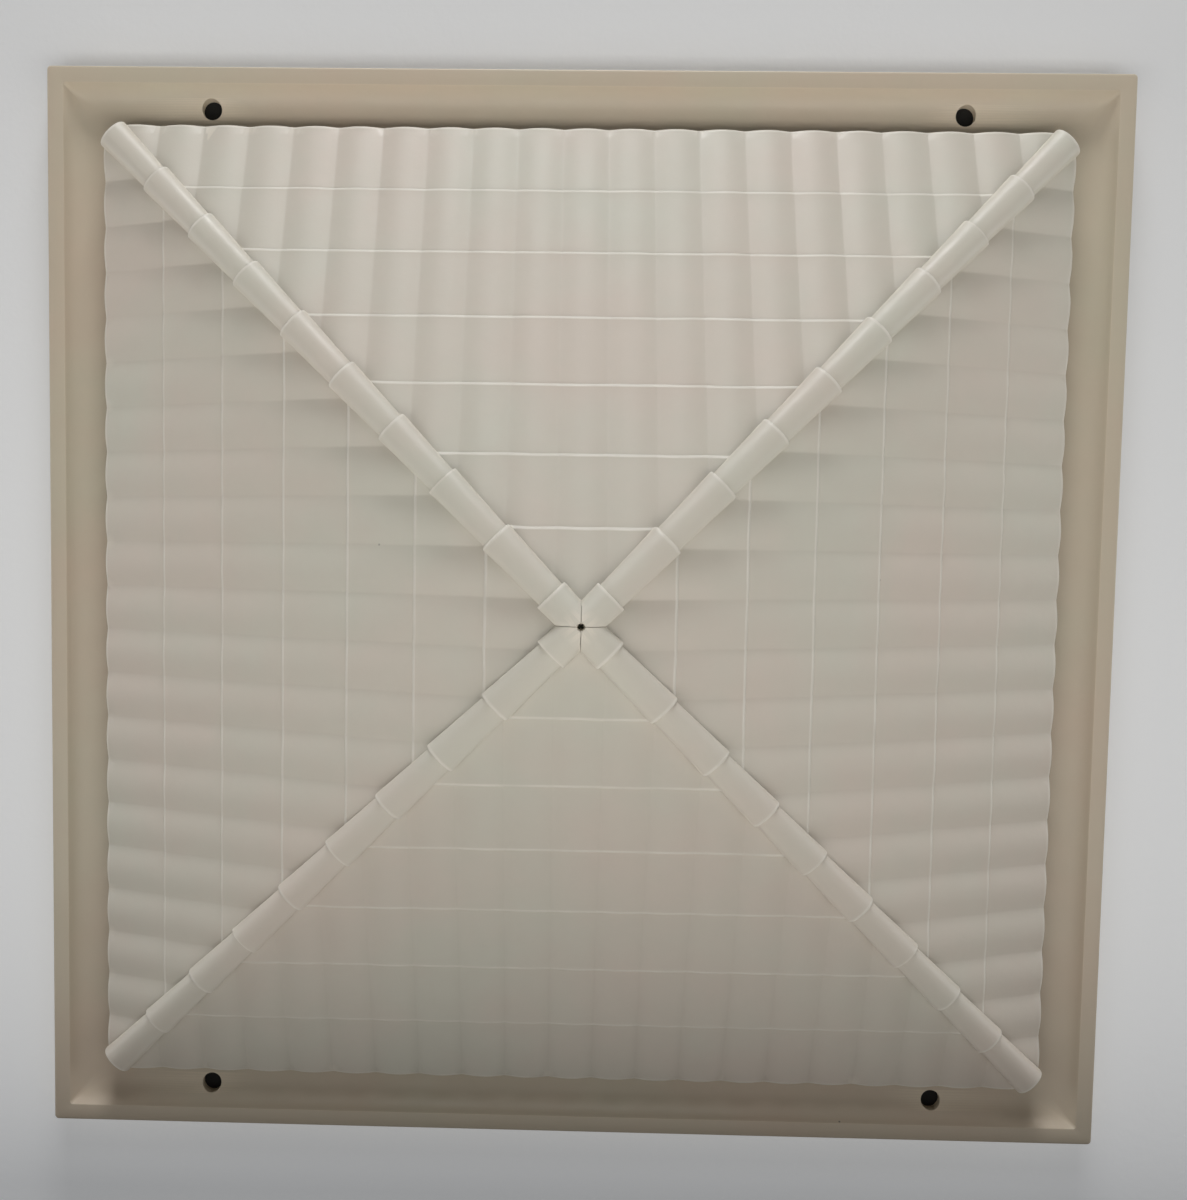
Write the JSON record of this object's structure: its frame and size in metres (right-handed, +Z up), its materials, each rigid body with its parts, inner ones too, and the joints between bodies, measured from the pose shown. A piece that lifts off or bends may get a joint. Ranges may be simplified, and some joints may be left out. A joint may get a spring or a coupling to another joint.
{
  "type": "roof vent cover",
  "caption": "Fixed square roof vent cover: a moulded flange with screw holes and a gutter, and a low tiled pyramid roof standing over the opening with an air gap at its eaves.",
  "frame": {"origin": "centre of the underside, in the plane that the flange is fastened to", "axes": "+Z up and out of the vehicle roof; +X and +Y along the sides of the square flange, with the mounting holes beside the +Y and -Y edges"},
  "size_m": [0.406, 0.406, 0.0973],
  "materials": {
    "frame_plastic": "moulded beige plastic, satin",
    "roof_plastic": "moulded off-white plastic with a fine layered texture",
    "cap_plastic": "moulded off-white plastic, satin",
    "inner_plastic": "plain moulded plastic",
    "retainer_plastic": "moulded beige plastic",
    "screen_mesh": "dark coated fibre mesh",
    "gasket_foam": "closed-cell foam seal",
    "screw_steel": "zinc-plated screws"
  },
  "bodies": {
    "root": {"base_frame": "frame_plastic", "flange_gasket": "gasket_foam", "tile_panel_north": "roof_plastic", "tile_panel_east": "roof_plastic", "tile_panel_south": "roof_plastic", "tile_panel_west": "roof_plastic", "hip_cap_ne": "cap_plastic", "hip_cap_nw": "cap_plastic", "hip_cap_se": "cap_plastic", "hip_cap_sw": "cap_plastic", "hip_rafter_ne": "inner_plastic", "hip_rafter_nw": "inner_plastic", "hip_rafter_se": "inner_plastic", "hip_rafter_sw": "inner_plastic", "corner_spacer_ne": "inner_plastic", "corner_spacer_nw": "inner_plastic", "corner_spacer_se": "inner_plastic", "corner_spacer_sw": "inner_plastic", "apex_boss": "inner_plastic", "post_screws": "screw_steel", "insect_screen": "screen_mesh", "screen_retainer": "retainer_plastic", "retainer_screws": "screw_steel"}
  },
  "joints": []
}
